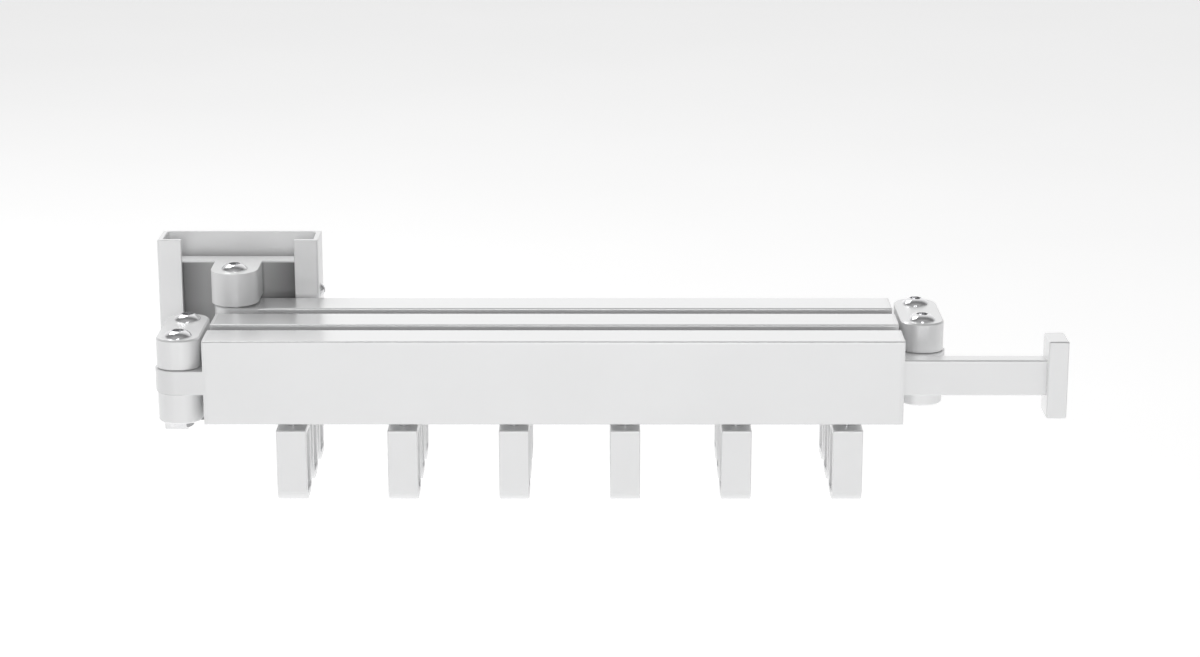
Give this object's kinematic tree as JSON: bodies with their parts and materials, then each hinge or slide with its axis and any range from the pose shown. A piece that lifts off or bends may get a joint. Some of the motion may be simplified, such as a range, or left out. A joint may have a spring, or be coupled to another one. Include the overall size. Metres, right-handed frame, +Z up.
{
  "type": "wall mounted fold down drying rack",
  "caption": "Wall mounted drying rack with hinged aluminium arms that fold flat along the wall, swivelling hanging rings below each arm and a pull-out end rod.",
  "frame": {"origin": "centre of the wall channel's back face, which rests on the wall", "axes": "+X along the folded arms, away from the bracket; +Y into the wall, so the rack stands out towards -Y; +Z up"},
  "size_m": [0.4306, 0.1027, 0.1056],
  "materials": {
    "arm_metal": "satin anodised, fine lengthwise grain",
    "fitting_metal": "satin anodised",
    "link_metal": "satin anodised",
    "channel_metal": "satin anodised",
    "mount_metal": "satin anodised",
    "rod_metal": "satin anodised",
    "ring_metal": "satin, fine brushed faces",
    "screw_chrome": "polished",
    "washer_steel": "satin",
    "rivet_steel": "satin",
    "bush_plastic": "matt acetal",
    "guide_plastic": "matt nylon"
  },
  "bodies": {
    "bracket": {"wall_channel": "channel_metal", "hinge_mount": "mount_metal", "bracket_side_screws": "screw_chrome", "bracket_hinge_bolt": "screw_chrome", "bracket_hinge_nut": "screw_chrome", "bracket_hinge_washers": "washer_steel"},
    "arm_1": {"arm_1_tube": "arm_metal", "arm_1_wall_end": "fitting_metal", "arm_1_link_end": "fitting_metal", "arm_1_bushes": "bush_plastic", "arm_1_ring_rivets": "rivet_steel"},
    "link_1": {"link_1_block": "link_metal", "link_1_hinge_bolts": "screw_chrome", "link_1_hinge_nuts": "screw_chrome"},
    "arm_2": {"arm_2_tube": "arm_metal", "arm_2_inner_end": "fitting_metal", "arm_2_outer_end": "fitting_metal", "arm_2_bushes": "bush_plastic", "arm_2_ring_rivets": "rivet_steel"},
    "link_2": {"link_2_block": "link_metal", "link_2_hinge_bolts": "screw_chrome", "link_2_hinge_nuts": "screw_chrome"},
    "arm_3": {"arm_3_tube": "arm_metal", "arm_3_inner_end": "fitting_metal", "arm_3_end_cap": "fitting_metal", "arm_3_bush": "bush_plastic", "arm_3_ring_rivets": "rivet_steel", "rod_guide": "guide_plastic"},
    "pull_rod": {"pull_rod": "rod_metal", "rod_end_plate": "rod_metal", "end_plate_screw": "screw_chrome", "rod_stop": "guide_plastic", "rod_stop_screw": "screw_chrome"},
    "ring_1_1": {"ring_1_1": "ring_metal"},
    "ring_1_2": {"ring_1_2": "ring_metal"},
    "ring_1_3": {"ring_1_3": "ring_metal"},
    "ring_1_4": {"ring_1_4": "ring_metal"},
    "ring_1_5": {"ring_1_5": "ring_metal"},
    "ring_1_6": {"ring_1_6": "ring_metal"},
    "ring_2_1": {"ring_2_1": "ring_metal"},
    "ring_2_2": {"ring_2_2": "ring_metal"},
    "ring_2_3": {"ring_2_3": "ring_metal"},
    "ring_2_4": {"ring_2_4": "ring_metal"},
    "ring_2_5": {"ring_2_5": "ring_metal"},
    "ring_2_6": {"ring_2_6": "ring_metal"},
    "ring_3_1": {"ring_3_1": "ring_metal"},
    "ring_3_2": {"ring_3_2": "ring_metal"},
    "ring_3_3": {"ring_3_3": "ring_metal"},
    "ring_3_4": {"ring_3_4": "ring_metal"},
    "ring_3_5": {"ring_3_5": "ring_metal"},
    "ring_3_6": {"ring_3_6": "ring_metal"}
  },
  "joints": [
    {"name": "arm_1_hinge", "type": "hinge", "parent": "bracket", "child": "arm_1", "pos_m": [0, -0.0335, 0], "axis": [0, 0, -1], "range_deg": [0, 90]},
    {"name": "link_1_inner_hinge", "type": "hinge", "parent": "arm_1", "child": "link_1", "pos_m": [0.328, -0.0335, 0], "axis": [0, 0, 1], "range_deg": [0, 90]},
    {"name": "link_1_outer_hinge", "type": "hinge", "parent": "link_1", "child": "arm_2", "pos_m": [0.328, -0.063, 0], "axis": [0, 0, 1], "range_deg": [0, 90]},
    {"name": "link_2_inner_hinge", "type": "hinge", "parent": "arm_2", "child": "link_2", "pos_m": [-0.019, -0.063, 0], "axis": [0, 0, -1], "range_deg": [0, 90]},
    {"name": "link_2_outer_hinge", "type": "hinge", "parent": "link_2", "child": "arm_3", "pos_m": [-0.019, -0.0925, 0], "axis": [0, 0, -1], "range_deg": [0, 90]},
    {"name": "rod_slide", "type": "slide", "parent": "arm_3", "child": "pull_rod", "axis": [1, 0, 0], "range_m": [-0.065, 0]},
    {"name": "ring_1_1_swivel", "type": "hinge", "parent": "arm_1", "child": "ring_1_1", "pos_m": [0.0328, -0.0335, -0.0245], "axis": [0, 0, 1], "continuous": true},
    {"name": "ring_1_2_swivel", "type": "hinge", "parent": "arm_1", "child": "ring_1_2", "pos_m": [0.0844, -0.0335, -0.0245], "axis": [0, 0, 1], "continuous": true},
    {"name": "ring_1_3_swivel", "type": "hinge", "parent": "arm_1", "child": "ring_1_3", "pos_m": [0.136, -0.0335, -0.0245], "axis": [0, 0, 1], "continuous": true},
    {"name": "ring_1_4_swivel", "type": "hinge", "parent": "arm_1", "child": "ring_1_4", "pos_m": [0.1876, -0.0335, -0.0245], "axis": [0, 0, 1], "continuous": true},
    {"name": "ring_1_5_swivel", "type": "hinge", "parent": "arm_1", "child": "ring_1_5", "pos_m": [0.2392, -0.0335, -0.0245], "axis": [0, 0, 1], "continuous": true},
    {"name": "ring_1_6_swivel", "type": "hinge", "parent": "arm_1", "child": "ring_1_6", "pos_m": [0.2908, -0.0335, -0.0245], "axis": [0, 0, 1], "continuous": true},
    {"name": "ring_2_1_swivel", "type": "hinge", "parent": "arm_2", "child": "ring_2_1", "pos_m": [0.0328, -0.063, -0.0245], "axis": [0, 0, 1], "continuous": true},
    {"name": "ring_2_2_swivel", "type": "hinge", "parent": "arm_2", "child": "ring_2_2", "pos_m": [0.0844, -0.063, -0.0245], "axis": [0, 0, 1], "continuous": true},
    {"name": "ring_2_3_swivel", "type": "hinge", "parent": "arm_2", "child": "ring_2_3", "pos_m": [0.136, -0.063, -0.0245], "axis": [0, 0, 1], "continuous": true},
    {"name": "ring_2_4_swivel", "type": "hinge", "parent": "arm_2", "child": "ring_2_4", "pos_m": [0.1876, -0.063, -0.0245], "axis": [0, 0, 1], "continuous": true},
    {"name": "ring_2_5_swivel", "type": "hinge", "parent": "arm_2", "child": "ring_2_5", "pos_m": [0.2392, -0.063, -0.0245], "axis": [0, 0, 1], "continuous": true},
    {"name": "ring_2_6_swivel", "type": "hinge", "parent": "arm_2", "child": "ring_2_6", "pos_m": [0.2908, -0.063, -0.0245], "axis": [0, 0, 1], "continuous": true},
    {"name": "ring_3_1_swivel", "type": "hinge", "parent": "arm_3", "child": "ring_3_1", "pos_m": [0.0328, -0.0925, -0.0245], "axis": [0, 0, 1], "continuous": true},
    {"name": "ring_3_2_swivel", "type": "hinge", "parent": "arm_3", "child": "ring_3_2", "pos_m": [0.0844, -0.0925, -0.0245], "axis": [0, 0, 1], "continuous": true},
    {"name": "ring_3_3_swivel", "type": "hinge", "parent": "arm_3", "child": "ring_3_3", "pos_m": [0.136, -0.0925, -0.0245], "axis": [0, 0, 1], "continuous": true},
    {"name": "ring_3_4_swivel", "type": "hinge", "parent": "arm_3", "child": "ring_3_4", "pos_m": [0.1876, -0.0925, -0.0245], "axis": [0, 0, 1], "continuous": true},
    {"name": "ring_3_5_swivel", "type": "hinge", "parent": "arm_3", "child": "ring_3_5", "pos_m": [0.2392, -0.0925, -0.0245], "axis": [0, 0, 1], "continuous": true},
    {"name": "ring_3_6_swivel", "type": "hinge", "parent": "arm_3", "child": "ring_3_6", "pos_m": [0.2908, -0.0925, -0.0245], "axis": [0, 0, 1], "continuous": true}
  ],
  "couplings": [
    {"joint": "link_1_inner_hinge", "follows": "arm_1_hinge", "ratio": 1},
    {"joint": "link_1_outer_hinge", "follows": "arm_1_hinge", "ratio": 1}
  ]
}
